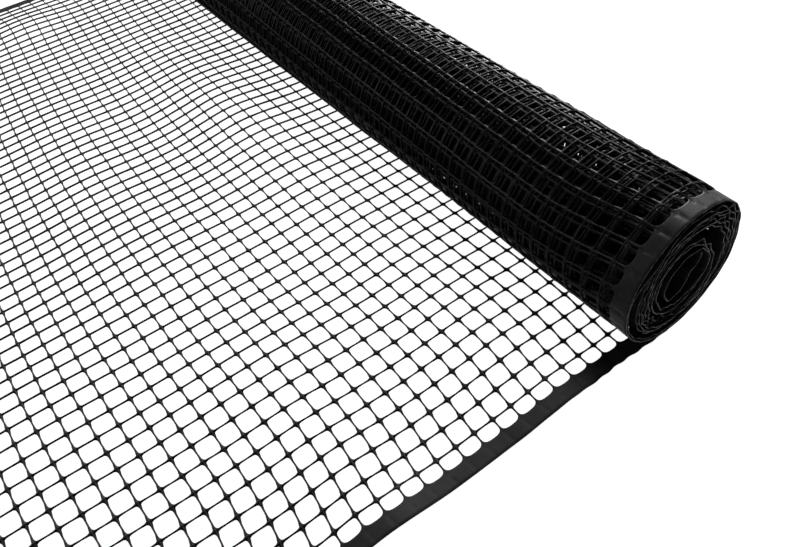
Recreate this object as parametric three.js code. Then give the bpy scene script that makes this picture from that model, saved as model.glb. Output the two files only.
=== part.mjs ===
// Roll of plastic balcony mesh with its loose end laid out in front of it, in millimetres with +Z up.
// X runs along the roll toward the near selvedge, Y from the loose end toward the roll's back.
// The origin is the middle of the flat spot that the roll stands on.
import * as THREE from 'three';

// Cloth and net
const WIDTH = 990;
const PITCH = 16;
const LAST_CROSSING = 23;
const BAND = 12;
const ROW_PHASE = 8.5;
const LOOSE = 456;
const SHEET = 2;

// The solid net is cut at twice the pitch
const CUT = 2 * PITCH;
const BAR = 3;
const CUT_COLUMNS = 25;
const CUT_ROWS = 12;

// Rows bow away from the roll at mid width and lag behind at the two bands
const BOW = 24.5;
const LEAN = 12.4;
const LEAN_REACH = 59;

// Rows draw together along the near side, about one row that stays in place
const GATHER = 0.03;
const GATHER_REACH = 280;
const GATHER_ROW = -208;

// Folds of the loose end: where the crest lies, how high it stands and how far it reaches each way
const FOLDS = [
  { x: 0, y: -118, rise: 10, reachX: 165, reachY: 56 },
  { x: 175, y: -235, rise: 7, reachX: 125, reachY: 170 },
  { x: 340, y: -245, rise: 6, reachX: 55, reachY: 84 },
  { x: 450, y: -98, rise: 6.5, reachX: 225, reachY: 52 },
  { x: 490, y: -250, rise: 5, reachX: 105, reachY: 32 },
  { x: 275, y: -425, rise: 7, reachX: 105, reachY: 115 },
  { x: -10, y: -280, rise: 4, reachX: 200, reachY: 56 },
  { x: -405, y: -240, rise: 4.6, reachX: 52, reachY: 48 },
];
const REST = 0.5;
const FADE = 90;

// Radius of the wound cloth on each lap, in eight directions round the axis, read from the roll's near end
const DIRECTIONS = ['under', 'low back', 'back', 'high back', 'top', 'high front', 'front', 'low front'];
const LAPS = [
  { lap: 0, radii: [52.5, 53.5, 55.5, 55.5, 52.5, 52, 55.5, 55.5] },
  { lap: 1, radii: [49.5, 49.5, 50, 51, 48, 47, 49.5, 52] },
  { lap: 2, radii: [45.5, 45.5, 45.5, 47.5, 44, 40, 42.5, 45.5] },
  { lap: 3, radii: [41.5, 42, 42.5, 44.5, 41.5, 36, 40.5, 43] },
  { lap: 6, radii: [30.5, 32, 38, 36.5, 34.5, 29, 34.5, 36] },
  { lap: 7, radii: [27.5, 29.5, 31.5, 31, 29.5, 26, 28.5, 31.5] },
  { lap: 8, radii: [24, 26.5, 29.5, 26.5, 24, 23, 25, 27.5] },
  { lap: 9, radii: [19.5, 23, 28, 22, 17.5, 17, 15.5, 18.5] },
  { lap: 10, radii: [15, 9.5, 10.5, 19, 19, 19, 19, 19] },
];
const AXIS_HEIGHT = 52.5;

// The roll thickens toward its far end; each row scales the section about the foot line
const STATIONS = [
  { x: 495, swell: 1.0 },
  { x: 470, swell: 1.006 },
  { x: 240, swell: 1.03 },
  { x: 20, swell: 1.056 },
  { x: -230, swell: 1.084 },
  { x: -470, swell: 1.112 },
  { x: -495, swell: 1.106 },
];

// The solid winds the main turns only: two laps of cloth to a turn after the first one, thinning to one flap
const TURNS = 5.5;
const TAIL = 0.3;
const STEPS = 26;
const START_LAPS = 0.5;
const TURN_LAPS = 1.2;
const SKIN = 0.6;
const SKIN_START = 0.25;
const THINNING = 0.5;
const FOOT = 8;
const FLAT_TURN = 0.024;
const GAP = 0.3;

function lapRadii() {
  const radii = [];
  for (let lap = 0; lap <= LAPS[LAPS.length - 1].lap; lap += 1) {
    const after = LAPS.findIndex((row) => row.lap >= lap);
    const high = LAPS[after];
    const low = LAPS[Math.max(after - 1, 0)];
    const share = high.lap === low.lap ? 1 : (lap - low.lap) / (high.lap - low.lap);
    DIRECTIONS.forEach((_, d) => radii.push(low.radii[d] + (high.radii[d] - low.radii[d]) * share));
  }
  return radii;
}

const RADII = lapRadii();

// Radius of the cloth after a number of laps from the foot, smooth through the table
function spiral(laps) {
  const at = Math.min(Math.max(laps * DIRECTIONS.length, 0), RADII.length - 1.001);
  const k = Math.floor(at);
  const u = at - k;
  const pick = (n) => RADII[Math.min(Math.max(n, 0), RADII.length - 1)];
  const [a, b, c, d] = [pick(k - 1), pick(k), pick(k + 1), pick(k + 2)];
  return 0.5 * (2 * b + (c - a) * u + (2 * a - 5 * b + 4 * c - d) * u * u + (3 * b - a - 3 * c + d) * u ** 3);
}

// Radius in one direction at any depth in laps, between the two laps that pass there
function depthRadius(direction, laps) {
  const lap = Math.max(Math.floor(laps - direction), 0);
  const share = laps - direction - lap;
  return spiral(lap + direction) * (1 - share) + spiral(lap + 1 + direction) * share;
}

// Depth in laps of a main turn's outer face, and how many laps it holds
function outerLaps(turn) {
  if (turn < 1) return turn;
  if (turn < TURNS) return 2 * turn - 1;
  return 2 * TURNS - 1 + (turn - TURNS);
}

function heldLaps(turn) {
  if (turn < 1) return START_LAPS + (TURN_LAPS - START_LAPS) * turn;
  return TURN_LAPS * Math.min(1, Math.max(0, (TURNS - turn) / THINNING));
}

function sectionPoint(turn, radius, swell) {
  const angle = 2 * Math.PI * turn;
  const height = AXIS_HEIGHT - radius * Math.cos(angle);
  return new THREE.Vector2(swell * radius * Math.sin(angle), swell * height);
}

// Closed outline of the main turns: out along the outer face, back along the inner one
function rollSection(swell) {
  const outer = [new THREE.Vector2(-FOOT, 0)];
  const inner = [new THREE.Vector2(-FOOT, SHEET)];
  const count = Math.round((TURNS + TAIL) * STEPS);
  const turns = [0, FLAT_TURN];
  for (let k = 1; k <= count; k += 1) turns.push(((TURNS + TAIL) * k) / count);
  turns.forEach((turn) => {
    const direction = turn - Math.floor(turn);
    const laps = outerLaps(turn);
    const skin = SKIN * Math.min(1, turn / SKIN_START);
    const out = sectionPoint(turn, depthRadius(direction, laps) + skin, swell);
    if (turn === FLAT_TURN) out.y = 0;
    if (turn > 0) outer.push(out);
    const held = depthRadius(direction, laps + heldLaps(turn)) - (turn > TURNS - THINNING ? SKIN : 0);
    inner.push(sectionPoint(turn, held, swell));
  });
  return outer.concat(inner.reverse());
}

function triangle(list, a, b, c) {
  list.push(a, b, c);
}

function solid(positions, index) {
  const geometry = new THREE.BufferGeometry();
  geometry.setAttribute('position', new THREE.Float32BufferAttribute(positions, 3));
  geometry.setIndex(index);
  geometry.computeVertexNormals();
  return geometry;
}

// Skin over matching sections at the stations, closed by two flat ends
function loft(stations, sections) {
  const positions = [];
  const index = [];
  const n = sections[0].length;
  const last = (stations.length - 1) * n;
  stations.forEach(({ x }, k) => sections[k].forEach((p) => positions.push(x, p.x, p.y)));
  for (let k = 0; k < last; k += n) {
    for (let i = 0; i < n; i += 1) {
      const j = (i + 1) % n;
      triangle(index, k + n + i, k + n + j, k + j);
      triangle(index, k + n + i, k + j, k + i);
    }
  }
  THREE.ShapeUtils.triangulateShape(sections[0], []).forEach(([a, b, c]) => {
    triangle(index, a, b, c);
    triangle(index, last + a, last + c, last + b);
  });
  return solid(positions, index);
}

// Height of the loose end over the floor; the folds fade out toward the roll, which presses the cloth down
function relief(x, y) {
  let height = -REST;
  FOLDS.forEach((fold) => {
    const across = (x - fold.x) / fold.reachX;
    const along = (y - fold.y) / fold.reachY;
    height += fold.rise * Math.exp(-across * across - along * along);
  });
  const pressed = Math.min(1, (-FOOT - y) / FADE);
  return pressed * Math.max(height, 0);
}

// Where a row of the net lies: its distance from the foot, bowed, drawn together and lagging at the bands
function rowY(x, row) {
  const across = (2 * x) / WIDTH;
  const nearEdge = (WIDTH / 2 - x) / LEAN_REACH;
  const farEdge = (WIDTH / 2 + x) / LEAN_REACH;
  const lag = LEAN * (Math.exp(-nearEdge * nearEdge) + Math.exp(-farEdge * farEdge));
  const side = (WIDTH / 2 - x) / GATHER_REACH;
  const drawn = GATHER * Math.exp(-side * side) * (row - GATHER_ROW);
  return row + BOW * (across * across - 1) - drawn - lag;
}

// Lines of the sheet's grid: hole edges with the solid strips between them
function gridLines() {
  const columns = [0, BAND];
  const firstBar = LAST_CROSSING + PITCH;
  for (let c = 0; c < CUT_COLUMNS; c += 1) {
    columns.push(firstBar + CUT * c - BAR / 2);
    if (c + 1 < CUT_COLUMNS) columns.push(firstBar + CUT * c + BAR / 2);
  }
  const cutEnd = columns[columns.length - 1];
  const spare = WIDTH - BAND - cutEnd;
  const strips = Math.ceil(spare / CUT);
  for (let k = 1; k <= strips; k += 1) columns.push(cutEnd + (spare * k) / strips);
  columns.push(WIDTH);
  const rows = [];
  for (let r = 0; r < CUT_ROWS; r += 1) {
    rows.push(-ROW_PHASE - CUT * r - BAR / 2);
    rows.push(-ROW_PHASE - CUT * (r + 1) + BAR / 2);
  }
  const rest = LOOSE + rows[rows.length - 1];
  rows.push(rows[rows.length - 1] - rest / 2, -LOOSE);
  return { columns, rows };
}

// The loose end: a bent sheet on the grid with the net's cells cut through it
function looseEnd() {
  const { columns, rows } = gridLines();
  const lines = rows.length + 1;
  const positions = [];
  const index = [];
  columns.forEach((across) => {
    const x = WIDTH / 2 - across;
    for (let r = 0; r < lines; r += 1) {
      const y = r === 0 ? -FOOT - GAP : rowY(x, rows[r - 1]);
      const z = r === 0 ? 0 : relief(x, y);
      positions.push(x, y, z, x, y, z + SHEET);
    }
  });
  const low = (c, r) => 2 * (c * lines + r);
  const high = (c, r) => low(c, r) + 1;
  const open = (c, r) => c % 2 === 1 && c < 2 * CUT_COLUMNS && r % 2 === 1 && r < 2 * CUT_ROWS;
  const filled = (c, r) => c >= 0 && r >= 0 && c < columns.length - 1 && r < lines - 1 && !open(c, r);
  const wall = (c0, r0, c1, r1) => {
    triangle(index, low(c0, r0), low(c1, r1), high(c1, r1));
    triangle(index, low(c0, r0), high(c1, r1), high(c0, r0));
  };
  for (let c = 0; c + 1 < columns.length; c += 1) {
    for (let r = 0; r + 1 < lines; r += 1) {
      if (filled(c, r)) {
        triangle(index, high(c, r), high(c + 1, r), high(c + 1, r + 1));
        triangle(index, high(c, r), high(c + 1, r + 1), high(c, r + 1));
        triangle(index, low(c, r), low(c + 1, r + 1), low(c + 1, r));
        triangle(index, low(c, r), low(c, r + 1), low(c + 1, r + 1));
        if (!filled(c, r - 1)) wall(c, r, c + 1, r);
        if (!filled(c, r + 1)) wall(c + 1, r + 1, c, r + 1);
        if (!filled(c - 1, r)) wall(c, r + 1, c, r);
        if (!filled(c + 1, r)) wall(c + 1, r, c + 1, r + 1);
      }
    }
  }
  return solid(positions, index);
}

function named(name, geometry, color) {
  const material = new THREE.MeshStandardMaterial({ color, roughness: 0.45, metalness: 0 });
  const mesh = new THREE.Mesh(geometry, material);
  mesh.name = name;
  return mesh;
}

const part = new THREE.Group();
part.name = 'balcony_mesh_roll';
const sections = STATIONS.map(({ swell }) => rollSection(swell));
part.add(named('roll', loft(STATIONS, sections), 0x1b1b1c));
part.add(named('loose_end', looseEnd(), 0x232324));

export default part;
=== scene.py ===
import math

import bpy
import numpy as np
from mathutils import Matrix, Vector


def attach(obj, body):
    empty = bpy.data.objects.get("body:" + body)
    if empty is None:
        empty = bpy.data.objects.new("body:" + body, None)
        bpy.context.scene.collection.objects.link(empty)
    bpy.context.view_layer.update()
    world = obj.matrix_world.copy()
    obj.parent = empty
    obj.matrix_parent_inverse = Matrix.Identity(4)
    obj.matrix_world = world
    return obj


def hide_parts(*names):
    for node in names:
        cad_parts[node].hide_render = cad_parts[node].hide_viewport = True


# Looks of a roll of black plastic balcony mesh. The whole net is one cloth, described in two lengths in
# millimetres: across, from the near selvedge to the far one, and row, along the cloth. Rows below zero
# lie loose on the floor and rows above zero are wound up, starting under the roll.

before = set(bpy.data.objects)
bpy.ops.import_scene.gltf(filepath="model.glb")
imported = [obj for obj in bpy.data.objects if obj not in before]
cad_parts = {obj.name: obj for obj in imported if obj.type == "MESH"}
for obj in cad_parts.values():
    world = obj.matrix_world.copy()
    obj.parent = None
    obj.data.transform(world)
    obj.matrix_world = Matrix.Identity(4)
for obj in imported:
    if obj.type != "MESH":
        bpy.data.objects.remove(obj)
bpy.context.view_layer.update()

MM = 0.001

# Cloth and net
WIDTH = 990.0
PITCH = 16.0
EDGE_CROSSING = 23.0
COLUMNS = 60
ROW_PHASE = -8.5
FIRST_ROW = -28
CLOTH_LAPS = 10.4

# Strands and crossings: half an opening in pitches across and along, half the height of the plastic
OPENING = (0.457, 0.46)
SECOND_OPENING = (0.436, 0.436)
INNER_OPENING = (0.372, 0.372)
SQUARENESS = 5.2
STRAND_HALF = 1.1
CROSSING_HALF = 1.15
CROSSING_VARIES = 0.12
STRAY = 0.35

# Selvedge band: distances from the outer edge
SCALLOP = 12.2
SCALLOP_ROUND = 3.0
ROOT = 11.0
NECK = 15.5
BAND_HALF = 0.45
BAND_LINES = (9.0, 5.5, 2.5, 0.2)
EDGE_HALF = 0.3
BAND_STEPS = (0.0, 0.08, 0.17, 0.28, 0.39, 0.5, 0.61, 0.72, 0.83, 0.92)
LIP = 0.4
LIP_FLAT = 0.08
LIP_TOWARD_BAND = 0.9
LIP_STRAND_SHARE = 0.6

# Creases of the bands, one at the root of each strand
CREASE = 0.9
CREASE_HALF = 1.2
CREASE_FROM = 0.5
CREASE_TO = 13.0
CREASE_BLEND = 3.0
CREASE_LOOSE_SHARE = 0.25

# Ruffles of the bands: they start on the loose end and grow on the inner laps
RUFFLE = 0.35
RUFFLE_FROM = -110.0
RUFFLE_BLEND = 90.0
RUFFLE_INNER = 0.5
INNER_FROM = 350.0
INNER_BLEND = 200.0
RUFFLE_FALL = 1.5
RUFFLE_UNEVEN = 0.6
WOUND_BLEND = 60.0
SWAY = 2.5
PUSH = 0.6
PUSH_VARIES = 1.4
RIPPLE = 0.5

# Where on each turn the inner bands bunch up: place, half width and share of the effect
BUNCHES = ((0.9, 0.09, 1.0), (0.4, 0.07, 0.6))
BUNCH_RUFFLE = 1.2
BUNCH_WAVE = 0.7
BUNCH_SWAY = 4.0
BUNCH_FROM = 1.0
BUNCH_BLEND = 0.5

# Noise over the cloth: length of a bump across and along, seed
STRAY_ACROSS = (23.0, 21.0, 0)
STRAY_ALONG = (21.0, 24.0, 1)
CROSSING_NOISE = (19.0, 17.0, 6)
WANDER_NOISE = (47.0, 40.0, 5)

# Noise along the bands: length of a bump, line of the noise that the near band reads, seed
UNEVEN_NOISE = (55.0, 9.0, 2)
SWAY_NOISE = (70.0, 5.0, 3)
PUSH_NOISE = (38.0, 3.0, 4)
BUNCH_NOISE = (31.0, 7.0, 8)

# How the loose end lies
BOW = 24.5
LEAN = 12.4
LEAN_REACH = 59.0
GATHER = 0.03
GATHER_REACH = 280.0
GATHER_ROW = -208.0
SLIP = 2.5
SLIP_REACH = 80.0
LIFT = 1.2
REST = 0.5
FOLDS = (
    # x, y of the crest, rise, reach along x, reach along y
    (0, -118, 10, 165, 56),
    (175, -235, 7, 125, 170),
    (340, -245, 6, 55, 84),
    (450, -98, 6.5, 225, 52),
    (490, -250, 5, 105, 32),
    (275, -425, 7, 105, 115),
    (-10, -280, 4, 200, 56),
    (-405, -240, 4.6, 52, 48),
)

# How the cloth is wound: for each lap its radius in eight directions, from under the axis up the back
AXIS_HEIGHT = 52.5
LAPS = (
    (52.5, 53, 52.3, 54.6, 52.5, 52, 57.3, 55.8),
    (49.5, 49, 48.5, 51, 49.3, 47.3, 53, 54.3),
    (46.3, 45.5, 46, 48.3, 45.8, 42.3, 45.2, 49.2),
    (43, 42.5, 43, 45.3, 43, 41, 43.3, 46.5),
    (40.5, 40, 40.5, 41.8, 40.8, 39.5, 41.2, 44),
    (38, 37.5, 38, 39.4, 38.7, 37, 38.8, 41.3),
    (35.5, 35, 35, 36.2, 36, 34.3, 36.4, 38),
    (34.5, 30.5, 25, 22.9, 30, 32, 33.5, 32.5),
    (28.5, 24, 21.6, 21.4, 25.3, 27.3, 29, 28),
    (22.5, 20.8, 20.4, 19.6, 17, 16.5, 20, 21.7),
    (9.8, 4.6, 5, 16, 19, 19, 19, 19),
)
DIRECTIONS = len(LAPS[0])
RADII = np.array(LAPS).ravel()
STATIONS = np.array((
    # x, size of the section there
    (-495, 1.106),
    (-470, 1.112),
    (-230, 1.084),
    (20, 1.056),
    (240, 1.03),
    (470, 1.006),
    (495, 1.0),
))
MEAN_SWELL = 1.047
LENGTH_STEPS = 6000
SETTLE = 150.0
SLACK = 12.5
TAPER = 0.036
WANDER = 0.4
WANDER_BLEND = 60.0

# Away from the two ends the outer laps lie closer; a pair is for elsewhere and for where they are pressed
FIRST_GAP = (1.6, 1.1)
FIRST_GAP_FROM = 0.6
TIGHT_GAP = 1.3
TIGHT_LAPS = 4
LOOSE_LAPS = 7
TIGHT_START = (12.0, 2.0)
TIGHT_REACH = (80.0, 14.0)
PRESSED_AT = 0.88
PRESSED_SHARPNESS = 3

# At the near end the outer lap's back is wound a little inward of the rest
DRIFT = 4.2
DRIFT_LAPS = 1.5
DRIFT_REACH = 160.0
DRIFT_SHARPNESS = 1.5

# Inner laps lie out of line with the outer ones, along the roll and round it
SKEW = 8.4
SKEW_SEED = 15
SKEW_FROM_LAP = 0.95
SKEW_LAP_BLEND = 0.4
SKEW_FROM_EDGE = 14.0
SKEW_EDGE_BLEND = 60.0
CREEP = 0.0135
CREEP_FROM = 350.0

# Half the distance between the points that give the cloth's slope
PROBE = 0.2

# Corners whose angles differ by less count as level, so that the triangles come out the same in each run
TIE = 1e-9

# Multipliers that scatter the noise's values
SCATTER = (127.1, 311.7, 74.7, 43758.5453)


def lattice(i, j, seed):
    value = np.sin(i * SCATTER[0] + j * SCATTER[1] + seed * SCATTER[2]) * SCATTER[3]
    return 2 * (value - np.floor(value)) - 1


def step(value):
    """Eases from 0 to 1 as the value does."""
    t = np.clip(value, 0, 1)
    return t * t * (3 - 2 * t)


def noise(u, v, seed):
    """Smooth noise from -1 to 1, one bump to each unit."""
    i, j = np.floor(u), np.floor(v)
    fu, fv = step(u - i), step(v - j)
    low = lattice(i, j, seed) * (1 - fu) + lattice(i + 1, j, seed) * fu
    high = lattice(i, j + 1, seed) * (1 - fu) + lattice(i + 1, j + 1, seed) * fu
    return low * (1 - fv) + high * fv


def cloth_noise(across, row, kind):
    reach_across, reach_along, seed = kind
    return noise(across / reach_across, row / reach_along, seed)


def band_noise(near, row, kind):
    reach, line, seed = kind
    return noise(row / reach, near * line, seed)


def blend(pair, share):
    return pair[0] + (pair[1] - pair[0]) * share


def from_edge(across):
    """Distance from the nearer selvedge."""
    return np.minimum(across, WIDTH - across)


def smooth(table, k, u):
    """A smooth curve through the table, a share u past its entry k."""
    a, b, c, d = (table[k + n] for n in (0, 1, 2, 3))
    return 0.5 * (2 * b + (c - a) * u + (2 * a - 5 * b + 4 * c - d) * u**2 + (3 * b - a - 3 * c + d) * u**3)


def spiral(laps):
    """Radius of the cloth after that many laps, as it is at the roll's ends."""
    at = laps * DIRECTIONS
    k = np.floor(at).astype(int)
    return smooth(np.concatenate([RADII[:1], RADII]), k, at - k)


def outer_lap(laps):
    """Radius of the outer lap in the direction that so many laps lead to."""
    at = (laps - np.floor(laps)) * DIRECTIONS
    k = np.floor(at).astype(int)
    lap = RADII[:DIRECTIONS]
    return smooth(np.concatenate([lap[-1:], lap, lap[:2]]), k, at - k)


def winding(laps, across):
    """Radius of the cloth in the roll: as the table has it at the ends, with closer laps between them."""
    pressed = (0.5 + 0.5 * np.cos(2 * np.pi * (laps - PRESSED_AT))) ** PRESSED_SHARPNESS
    first = blend(FIRST_GAP, pressed) * step((laps - FIRST_GAP_FROM) / (1 - FIRST_GAP_FROM))
    close = outer_lap(laps) - first - TIGHT_GAP * np.clip(laps - 1, 0, TIGHT_LAPS - 1)
    inside = step((laps - TIGHT_LAPS) / (LOOSE_LAPS - TIGHT_LAPS))
    close = close * (1 - inside) + spiral(laps) * inside
    share = step((from_edge(across) - blend(TIGHT_START, pressed)) / blend(TIGHT_REACH, pressed))
    return spiral(laps) * (1 - share) + close * share


def wound_lengths():
    """Laps in small steps, and the length of cloth that is wound up by each."""
    laps = np.linspace(0, CLOTH_LAPS, LENGTH_STEPS + 1)
    radius, angle = winding(laps, WIDTH / 2) * MEAN_SWELL, 2 * np.pi * laps
    y, z = radius * np.sin(angle), radius * np.cos(angle)
    return laps, np.concatenate([[0], np.cumsum(np.hypot(np.diff(y), np.diff(z)))])


LAP_AT, LENGTH_AT = wound_lengths()


def laps_at(along):
    """Laps wound up over a length of cloth."""
    wound = np.maximum(along, 0)
    return np.interp(wound - CREEP * np.maximum(wound - CREEP_FROM, 0), LENGTH_AT, LAP_AT)


def relief(x, y):
    """Height of the loose end over the floor."""
    height = -REST
    for fx, fy, rise, reach_x, reach_y in FOLDS:
        height = height + rise * np.exp(-(((x - fx) / reach_x) ** 2) - ((y - fy) / reach_y) ** 2)
    return np.maximum(height, 0)


def drift(laps, across):
    """How far the outer lap's back lies inward of its place."""
    back = np.maximum(np.sin(2 * np.pi * laps), 0) ** DRIFT_SHARPNESS
    return DRIFT * np.exp(-laps / DRIFT_LAPS - (across / DRIFT_REACH) ** 2) * back


def skew(laps, across):
    """How far an inner lap's net lies along the roll from its place; the bands stay in theirs."""
    inner = step((laps - SKEW_FROM_LAP) / SKEW_LAP_BLEND)
    clear = step((from_edge(across) - SKEW_FROM_EDGE) / SKEW_EDGE_BLEND)
    return SKEW * noise(laps, 0.0, SKEW_SEED) * inner * clear


def surface(across, row):
    """The cloth's middle surface in millimetres, on the floor or in the winding."""
    x = WIDTH / 2 - across
    near, far = across / LEAN_REACH, (WIDTH - across) / LEAN_REACH
    lean = LEAN * (np.exp(-(near**2)) + np.exp(-(far**2)))
    bow = BOW * (1 - (2 * x / WIDTH) ** 2)
    drawn = GATHER * np.exp(-((across / GATHER_REACH) ** 2)) * (row - GATHER_ROW)
    loose = 1 - step(row / SETTLE)
    along = row - lean - (bow + drawn) * loose + (SLACK - TAPER * across) * (1 - loose)
    x = x + SLIP * step(-row / SLIP_REACH)
    laps = laps_at(along)
    size = np.interp(x, STATIONS[:, 0], STATIONS[:, 1])
    wander = WANDER * step(along / WANDER_BLEND) * cloth_noise(across, row, WANDER_NOISE)
    radius, angle = winding(laps, across) + wander, 2 * np.pi * laps
    x = x - drift(laps, across) + skew(laps, across)
    y = np.where(along > 0, size * radius * np.sin(angle), along)
    z = np.where(along > 0, size * (AXIS_HEIGHT - radius * np.cos(angle)), relief(x, along))
    return np.stack([x, y, z + LIFT], axis=-1)


def frill(across, row):
    """Creases and ruffles of the two bands: a lift off the surface and a push outward."""
    near = across < WIDTH / 2
    inward = from_edge(across)
    rim = np.clip(1 - inward / SCALLOP, 0, 1)
    wound = step(row / WOUND_BLEND)
    reach = step((row - RUFFLE_FROM) / RUFFLE_BLEND)
    laps = laps_at(row + SLACK - LEAN)
    turn = laps - np.floor(laps)
    bunch = sum(share * np.exp(-(((turn - at) / half) ** 2)) for at, half, share in BUNCHES)
    deep = RUFFLE + RUFFLE_INNER * step((row - INNER_FROM) / INNER_BLEND)
    deep = deep + BUNCH_RUFFLE * bunch * step((laps - BUNCH_FROM) / BUNCH_BLEND)
    uneven = RUFFLE_UNEVEN * (1 + band_noise(near, row, UNEVEN_NOISE))
    cycle = 2 * np.pi * (row - ROW_PHASE) / PITCH
    wave = np.sin(cycle + SWAY * band_noise(near, row, SWAY_NOISE))
    wave = wave + BUNCH_WAVE * bunch * np.sin(2 * cycle + BUNCH_SWAY * band_noise(near, row, BUNCH_NOISE))
    off_row = (((row - ROW_PHASE) / PITCH + 0.5) % 1 - 0.5) * PITCH
    begun = step((inward - CREASE_FROM) / CREASE_BLEND)
    ended = step((inward - CREASE_TO) / CREASE_BLEND)
    crease = CREASE * np.exp(-((off_row / CREASE_HALF) ** 2)) * begun * (1 - ended)
    crease = crease * blend((CREASE_LOOSE_SHARE, 1), wound) * np.where(wound > 0, 1, -1)
    lift = reach * deep * uneven * rim**RUFFLE_FALL * wave + crease
    varied = PUSH + PUSH_VARIES * band_noise(near, row, PUSH_NOISE) + RIPPLE * (1 - wound) * wave
    push = reach * rim * varied
    return lift, np.where(near, -push, push)


def place(across, row, height):
    """Points of the net in metres: across and row in the cloth, height off its middle surface."""
    lift, push = frill(across, row)
    a = across + STRAY * cloth_noise(across, row, STRAY_ACROSS) + push
    r = row + STRAY * cloth_noise(across, row, STRAY_ALONG)
    along = surface(a, r + PROBE) - surface(a, r - PROBE)
    side = surface(a + PROBE, r) - surface(a - PROBE, r)
    normal = np.cross(along, side)
    normal /= np.linalg.norm(normal, axis=-1, keepdims=True)
    return (surface(a, r) + normal * (height + lift)[..., None]) * MM


def bridge(outer, inner):
    """Triangles between two rings of points round the origin: ('o' or 'i', index) for each corner."""
    def turn(points):
        return [math.atan2(v, u) % (2 * math.pi) for u, v in points]

    ring = {"o": turn(outer), "i": turn(inner)}
    start = {k: int(np.argmin(v)) for k, v in ring.items()}
    count = {k: len(v) for k, v in ring.items()}
    done = {"o": 0, "i": 0}
    faces = []

    def ahead(k):
        if done[k] >= count[k]:
            return math.inf
        angle = ring[k][(start[k] + done[k] + 1) % count[k]]
        return angle + (2 * math.pi if done[k] + 1 >= count[k] else 0)

    def now(k, more=0):
        return k, (start[k] + done[k] + more) % count[k]

    while done["o"] < count["o"] or done["i"] < count["i"]:
        if ahead("o") <= ahead("i") + TIE:
            faces.append((now("o"), now("o", 1), now("i")))
            done["o"] += 1
        else:
            faces.append((now("o"), now("i", 1), now("i")))
            done["i"] += 1
    return faces


def soft_square(count, squareness):
    """Points round a square with soft corners, one unit each way; its low side has its own squareness."""
    t = 2 * np.pi * np.arange(count) / count
    c, s = np.cos(t), np.sin(t)
    power = np.where(c > 0, 2 / SQUARENESS, 2 / squareness)
    return np.sign(c) * np.abs(c) ** power, np.sign(s) * np.abs(s) ** power


def opening(count, half):
    """An opening of the net, round its middle, in pitches."""
    u, v = soft_square(count, SQUARENESS)
    return np.stack([u * half[0], v * half[1]], 1)


def edge_opening(count, half):
    """The opening beside a band, round its own middle, in millimetres: round toward the band."""
    u, v = soft_square(count, SCALLOP_ROUND)
    inner = EDGE_CROSSING - PITCH * (0.5 - half[0])
    middle = (inner + SCALLOP) / 2
    return np.stack([u * (inner - middle), v * half[1] * PITCH], 1), middle


class Builder:
    """Gathers cloth points and triangles of one piece of net."""

    def __init__(self):
        self.points, self.total = [], 0
        self.faces, self.kinds = [], []

    def add(self, across, row, height):
        across, row, height = np.broadcast_arrays(across, row, height)
        index = self.total + np.arange(across.size).reshape(across.shape)
        self.points.append(np.stack([across.ravel(), row.ravel(), height.ravel()], 1))
        self.total += across.size
        return index

    def pair(self, across, row, half):
        return self.add(across, row, half), self.add(across, row, -np.asarray(half))

    def tri(self, a, b, c, kind=0, flip=False):
        a, b, c = np.broadcast_arrays(a, b, c)
        corners = (a, c, b) if flip else (a, b, c)
        self.faces.append(np.stack([x.ravel() for x in corners], 1))
        self.kinds.append(np.full(a.size, kind))

    def quad(self, a, b, c, d, kind=0, flip=False):
        self.tri(a, b, c, kind, flip)
        self.tri(a, c, d, kind, flip)


def between(values):
    return (values[:-1] + values[1:]) / 2


def net(first, last, count, half):
    """A piece of net from crossing row first to crossing row last, both bands included."""
    build = Builder()
    rows = ROW_PHASE + PITCH * np.arange(first, last + 1)
    columns = EDGE_CROSSING + PITCH * np.arange(COLUMNS)
    middle_a, middle_r = between(columns), between(rows)
    thick = 1 + CROSSING_VARIES * cloth_noise(columns[:, None], rows[None], CROSSING_NOISE)
    cross = build.pair(columns[:, None], rows[None], CROSSING_HALF * thick)
    bar = build.pair(middle_a[:, None], rows[None], STRAND_HALF)
    post = build.pair(columns[:, None], middle_r[None], STRAND_HALF)

    loop = opening(count, half)
    hole = build.add(
        middle_a[:, None, None] + PITCH * loop[None, None, :, 0],
        middle_r[None, :, None] + PITCH * loop[None, None, :, 1],
        0.0,
    )
    square = [(-1, -1), (0, -1), (1, -1), (1, 0), (1, 1), (0, 1), (-1, 1), (-1, 0)]
    ring = bridge([(u / 2, v / 2) for u, v in square], loop)
    for side in (0, 1):
        c, b, p = cross[side], bar[side], post[side]
        outer = [c[:-1, :-1], b[:, :-1], c[1:, :-1], p[1:], c[1:, 1:], b[:, 1:], c[:-1, 1:], p[:-1]]
        for corners in ring:
            picked = [outer[n] if k == "o" else hole[:, :, n] for k, n in corners]
            build.tri(*picked, flip=side == 0)

    chains = [[], []]
    for far in (False, True):
        selvedge(build, far, rows, count, half, cross, post, chains)
    for side in (0, 1):
        across = [cross[side][0]]
        for i in range(COLUMNS - 1):
            across += [bar[side][i], cross[side][i + 1]]
        chains[side] = chains[side][0][::-1] + across + chains[side][1]
    close_ends(build, chains)
    return build


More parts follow.
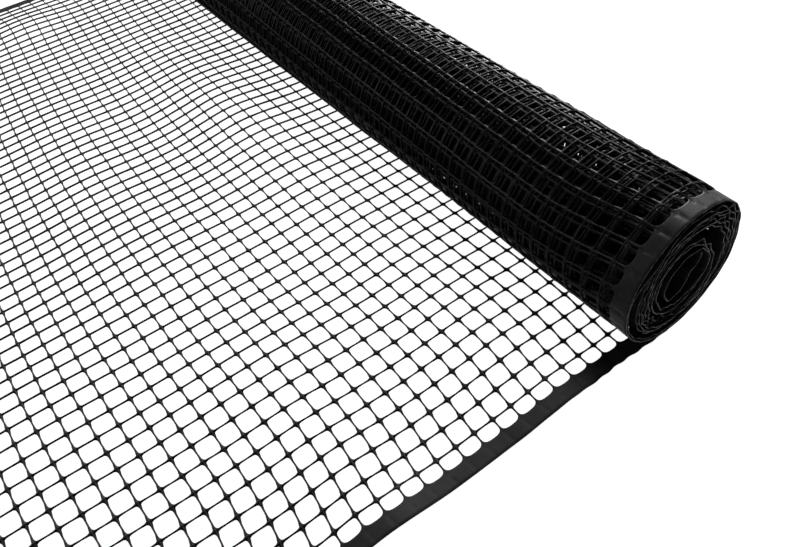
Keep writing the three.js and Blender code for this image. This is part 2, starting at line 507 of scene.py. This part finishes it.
def selvedge(build, far, rows, count, half, cross, post, chains):
    """The openings along one band, and the band."""
    def place_at(inward):
        return WIDTH - np.asarray(inward) if far else np.asarray(inward)

    column = COLUMNS - 1 if far else 0
    shape, middle = edge_opening(count, half)
    out = shape / np.linalg.norm(shape, axis=1, keepdims=True)
    toward = np.clip(-out[:, :1], 0, 1)
    half_lip = np.where(shape[:, 0] < 0, BAND_HALF, LIP_STRAND_SHARE * STRAND_HALF)[None]
    lip_shape = shape + LIP * out
    flat_shape = shape + (LIP + LIP_FLAT + LIP_TOWARD_BAND * toward) * out

    def loop_at(points):
        return place_at(middle + points[None, :, 0]), between(rows)[:, None] + points[None, :, 1]

    def line_at(inward, along, half_height):
        return build.pair(place_at(np.full(len(along), inward)), along, half_height)

    hole = build.add(*loop_at(shape), 0.0)
    lip = build.pair(*loop_at(lip_shape), half_lip)
    flat = build.pair(*loop_at(flat_shape), half_lip)
    stem_at = (middle + EDGE_CROSSING) / 2
    stem = line_at(stem_at, rows, STRAND_HALF)
    neck = line_at(NECK, rows, STRAND_HALF)
    root = line_at(ROOT, rows, BAND_HALF)
    steps = len(BAND_STEPS)
    fine = np.append((rows[:-1, None] + PITCH * np.array(BAND_STEPS)).ravel(), rows[-1])
    lines = [line_at(inward, fine, BAND_HALF) for inward in BAND_LINES]
    lines.append(line_at(0.0, fine, EDGE_HALF))

    apart = PITCH / 2
    outline = [(EDGE_CROSSING - middle, side * apart) for side in (-1, 0, 1)]
    outline += [(inward - middle, apart) for inward in (stem_at, NECK, ROOT)]
    first_band = len(outline) - 1
    outline += [(BAND_LINES[0] - middle, PITCH * at - apart) for at in (1.0, *BAND_STEPS[::-1])]
    last_band = len(outline)
    outline += [(inward - middle, -apart) for inward in (ROOT, NECK, stem_at)]
    ring = bridge(outline, flat_shape)
    low, high = slice(None, -1), slice(1, None)
    after = (np.arange(count) + 1) % count
    for side in (0, 1):
        c, p = cross[side][column], post[side][column]
        outer = [c[low], p, c[high], stem[side][high], neck[side][high], root[side][high]]
        for k in range(steps + 1):
            outer.append(lines[0][side][steps - k :: steps][: len(rows) - 1])
        outer += [root[side][low], neck[side][low], stem[side][low]]
        turned = (side == 0) != far
        for corners in ring:
            picked = [outer[n] if k == "o" else flat[side][:, n] for k, n in corners]
            solid = any(k == "o" and first_band <= n <= last_band for k, n in corners)
            build.tri(*picked, kind=int(solid), flip=turned)
        for wide, narrow in ((flat[side], lip[side]), (lip[side], hole)):
            build.quad(wide, wide[:, after], narrow[:, after], narrow, kind=1, flip=turned)
        ladder = [line[side] for line in lines]
        for upper, lower in zip(ladder[:-1], ladder[1:]):
            build.quad(upper[:-1], upper[1:], lower[1:], lower[:-1], kind=1, flip=turned)
        chains[side].append([stem[side], neck[side], root[side]] + [line[::steps] for line in ladder])
    # The band's cut edge, in the third material, whose lighter patches are a painted highlight
    top, bottom = lines[-1]
    build.quad(top[:-1], top[1:], bottom[1:], bottom[:-1], kind=2, flip=not far)


def close_ends(build, chains):
    """Closes the first and last row between the top and bottom faces."""
    for end in (0, -1):
        top, bottom = (np.array([line[end] for line in chain]) for chain in chains)
        build.quad(top[:-1], bottom[:-1], bottom[1:], top[1:], flip=end == 0)


def as_piece(name, build, materials, nodes):
    across, row, height = np.concatenate(build.points).T
    points = place(across, row, height)
    faces = np.concatenate(build.faces)
    mesh = bpy.data.meshes.new(name)
    mesh.vertices.add(len(points))
    mesh.vertices.foreach_set("co", points.astype(np.float32).ravel())
    mesh.loops.add(faces.size)
    mesh.loops.foreach_set("vertex_index", faces.astype(np.int32).ravel())
    mesh.polygons.add(len(faces))
    mesh.polygons.foreach_set("loop_start", (np.arange(len(faces)) * 3).astype(np.int32))
    for material in materials:
        mesh.materials.append(material)
    mesh.polygons.foreach_set("material_index", np.concatenate(build.kinds).astype(np.int32))
    mesh.update(calc_edges=True)
    mesh.shade_smooth()
    piece = bpy.data.objects.new(name, mesh)
    bpy.context.scene.collection.objects.link(piece)
    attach(piece, "root")
    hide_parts(nodes)
    return piece


# Surface of the plastic: strength of its shine, size and detail of the mottling, flow lines
SHINE = 0.05
GRAIN = 70
GRAIN_DETAIL = 5
GRAIN_SPREAD = (0.35, 0.68)
FLOW_LINES = 900
FLOW_DETAIL = 3
FLOW_STRENGTH = 0.15
FLOW_DEPTH = 0.0004

# The cut edges carry a painted highlight: lighter patches, mottled more finely and more strongly than the
# rest, stand in for the glints that their thin faces catch
EDGE_GLINT_GRAIN = 260
EDGE_GLINT_SPREAD = (0.45, 0.72)


def new_node(tree, kind, inputs):
    node = tree.nodes.new(kind)
    for name, value in inputs.items():
        node.inputs[name].default_value = value
    return node


def plastic(name, dark, light, rough, grain=GRAIN, spread=GRAIN_SPREAD):
    """Black extruded plastic: soft mottling, fine flow lines in the surface and an uneven sheen."""
    material = bpy.data.materials.new(name)
    material.use_nodes = True
    tree = material.node_tree
    shader = tree.nodes["Principled BSDF"]
    shader.inputs["Specular IOR Level"].default_value = SHINE
    where = new_node(tree, "ShaderNodeTexCoord", {})
    broad = new_node(tree, "ShaderNodeTexNoise", {"Scale": grain, "Detail": GRAIN_DETAIL})
    tone = new_node(tree, "ShaderNodeValToRGB", {})
    for element, position, colour in zip(tone.color_ramp.elements, spread, (dark, light)):
        element.position = position
        element.color = (*colour, 1)
    sheen = new_node(tree, "ShaderNodeMapRange", {"To Min": rough[0], "To Max": rough[1]})
    fine = new_node(tree, "ShaderNodeTexNoise", {"Scale": FLOW_LINES, "Detail": FLOW_DETAIL})
    bump = new_node(tree, "ShaderNodeBump", {"Strength": FLOW_STRENGTH, "Distance": FLOW_DEPTH})
    for source, target in (
        (where.outputs["Object"], broad.inputs["Vector"]),
        (broad.outputs["Fac"], tone.inputs["Fac"]),
        (tone.outputs["Color"], shader.inputs["Base Color"]),
        (broad.outputs["Fac"], sheen.inputs["Value"]),
        (sheen.outputs["Result"], shader.inputs["Roughness"]),
        (where.outputs["Object"], fine.inputs["Vector"]),
        (fine.outputs["Fac"], bump.inputs["Height"]),
        (bump.outputs["Normal"], shader.inputs["Normal"]),
    ):
        tree.links.new(source, target)
    return material


# The net, the faces of the bands and their cut edges, whose lighter grey is a painted highlight on the same
# black plastic
materials = (
    plastic("net_black", (0.0025, 0.0025, 0.0026), (0.005, 0.005, 0.0052), (0.3, 0.4)),
    plastic("band_black", (0.0042, 0.0043, 0.0045), (0.0098, 0.0101, 0.0105), (0.42, 0.54)),
    plastic("edge_painted_glint", (0.002, 0.002, 0.0021), (0.13, 0.13, 0.132), (0.4, 0.55), EDGE_GLINT_GRAIN, EDGE_GLINT_SPREAD),
)

# Pieces of the cloth, each a run of rows
creep = CREEP / (1 - CREEP) * (LENGTH_AT[-1] - CREEP_FROM)
wound_rows = round((LENGTH_AT[-1] + creep + LEAN - SLACK - ROW_PHASE) / PITCH)
RUNS = (
    # name, first row, last row, points round an opening, half its width in pitches, plastic's share, part
    ("loose_net", FIRST_ROW, 1, 24, OPENING, 0.3, "loose_end"),
    ("outer_lap", 1, 22, 24, OPENING, 0.3, "roll"),
    ("second_laps", 22, 60, 16, SECOND_OPENING, 0.3, "roll"),
    ("third_laps", 60, 97, 16, INNER_OPENING, 0.4, "roll"),
    ("fourth_laps", 97, 134, 16, INNER_OPENING, 0.4, "roll"),
    ("inner_laps", 134, wound_rows, 16, INNER_OPENING, 0.4, "roll"),
)
for name, first, last, count, half, share, node in RUNS:
    piece = as_piece(name, net(first, last, count, half), materials, node)

# Floor: half its side in metres, its grey, roughness and own glow
FLOOR_HALF = 12
FLOOR_GREY = 0.1
FLOOR_ROUGHNESS = 0.9
FLOOR_GLOW = 1.0

# Shade under the roll, in metres: middle and half size of a box, and how far outside it the shade fades
SHADE_MIDDLE = (0, 0.023, 0)
SHADE_HALF = (0.445, 0.015, 1.0)
SHADE_FADE = (0.022, 0.036)

corners = [(-FLOOR_HALF, -FLOOR_HALF, 0), (FLOOR_HALF, -FLOOR_HALF, 0)]
corners += [(FLOOR_HALF, FLOOR_HALF, 0), (-FLOOR_HALF, FLOOR_HALF, 0)]
floor_mesh = bpy.data.meshes.new("floor")
floor_mesh.from_pydata(corners, [], [(0, 1, 2, 3)])
floor = bpy.data.objects.new("floor", floor_mesh)
bpy.context.scene.collection.objects.link(floor)


def floor_white():
    """A pale floor that glows evenly, but not in the shade under the roll."""
    material = bpy.data.materials.new("floor_white")
    material.use_nodes = True
    tree = material.node_tree
    shader = tree.nodes["Principled BSDF"]
    shader.inputs["Base Color"].default_value = (FLOOR_GREY, FLOOR_GREY, FLOOR_GREY, 1)
    shader.inputs["Roughness"].default_value = FLOOR_ROUGHNESS
    shader.inputs["Specular IOR Level"].default_value = 0.0
    shader.inputs["Emission Color"].default_value = (1, 1, 1, 1)
    last = new_node(tree, "ShaderNodeTexCoord", {}).outputs["Object"]
    for operation, value in (
        ("SUBTRACT", SHADE_MIDDLE),
        ("ABSOLUTE", None),
        ("SUBTRACT", SHADE_HALF),
        ("MAXIMUM", (0, 0, 0)),
        ("LENGTH", None),
    ):
        node = new_node(tree, "ShaderNodeVectorMath", {1: value} if value else {})
        node.operation = operation
        tree.links.new(last, node.inputs[0])
        last = node.outputs["Value" if operation == "LENGTH" else "Vector"]
    fade = {"From Min": SHADE_FADE[0], "From Max": SHADE_FADE[1], "To Max": FLOOR_GLOW}
    glow = new_node(tree, "ShaderNodeMapRange", fade)
    glow.interpolation_type = "SMOOTHSTEP"
    tree.links.new(last, glow.inputs["Value"])
    tree.links.new(glow.outputs["Result"], shader.inputs["Emission Strength"])
    return material


floor_mesh.materials.append(floor_white())

# Light: the room's and three softboxes, in metres and watts
ROOM_LIGHT = 0.15
SOFTBOXES = (
    # name, place, aim, size, power
    ("back", (-1.6, 1.9, 0.9), (0.1, 0.0, 0.08), (1.6, 0.8), 205),
    ("left", (-1.1, -1.6, 1.0), (0.2, 0.0, 0.05), (1.4, 1.0), 28),
    ("above", (-1.0, 1.0, 1.9), (0.2, -0.1, 0.0), (1.6, 1.6), 125),
)

world = bpy.data.worlds.new("studio")
bpy.context.scene.world = world
world.use_nodes = True
world.node_tree.nodes["Background"].inputs["Color"].default_value = (1, 1, 1, 1)
world.node_tree.nodes["Background"].inputs["Strength"].default_value = ROOM_LIGHT

for name, spot, aim, size, power in SOFTBOXES:
    data = bpy.data.lights.new(name, "AREA")
    data.shape = "RECTANGLE"
    data.size, data.size_y = size
    data.energy = power
    lamp = bpy.data.objects.new(name, data)
    lamp.location = spot
    lamp.rotation_mode = "QUATERNION"
    lamp.rotation_quaternion = (Vector(aim) - Vector(spot)).to_track_quat("-Z", "Y")
    bpy.context.scene.collection.objects.link(lamp)

# Camera at the photograph's place, in metres; its focal length is in pixels of the photograph
CAMERA_PLACE = (0.6826, -0.3116, 0.4223)
CAMERA_RIGHT = (0.5715, 0.8119, -0.1196)
CAMERA_AHEAD = (-0.6145, 0.3267, -0.7181)
FOCAL_PIXELS = 727.3
PHOTO_WIDTH = 800
SENSOR = 36

camera_data = bpy.data.cameras.new("camera")
camera_data.sensor_width = SENSOR
camera_data.lens = FOCAL_PIXELS / PHOTO_WIDTH * SENSOR
camera = bpy.data.objects.new("camera", camera_data)
right = Vector(CAMERA_RIGHT)
ahead = Vector(CAMERA_AHEAD).normalized()
right = (right - ahead * right.dot(ahead)).normalized()
up = right.cross(ahead)
turned = Matrix((right, up, -ahead)).transposed().to_4x4()
camera.matrix_world = Matrix.Translation(CAMERA_PLACE) @ turned
bpy.context.scene.collection.objects.link(camera)
bpy.context.scene.camera = camera
bpy.context.scene.view_settings.view_transform = "Standard"
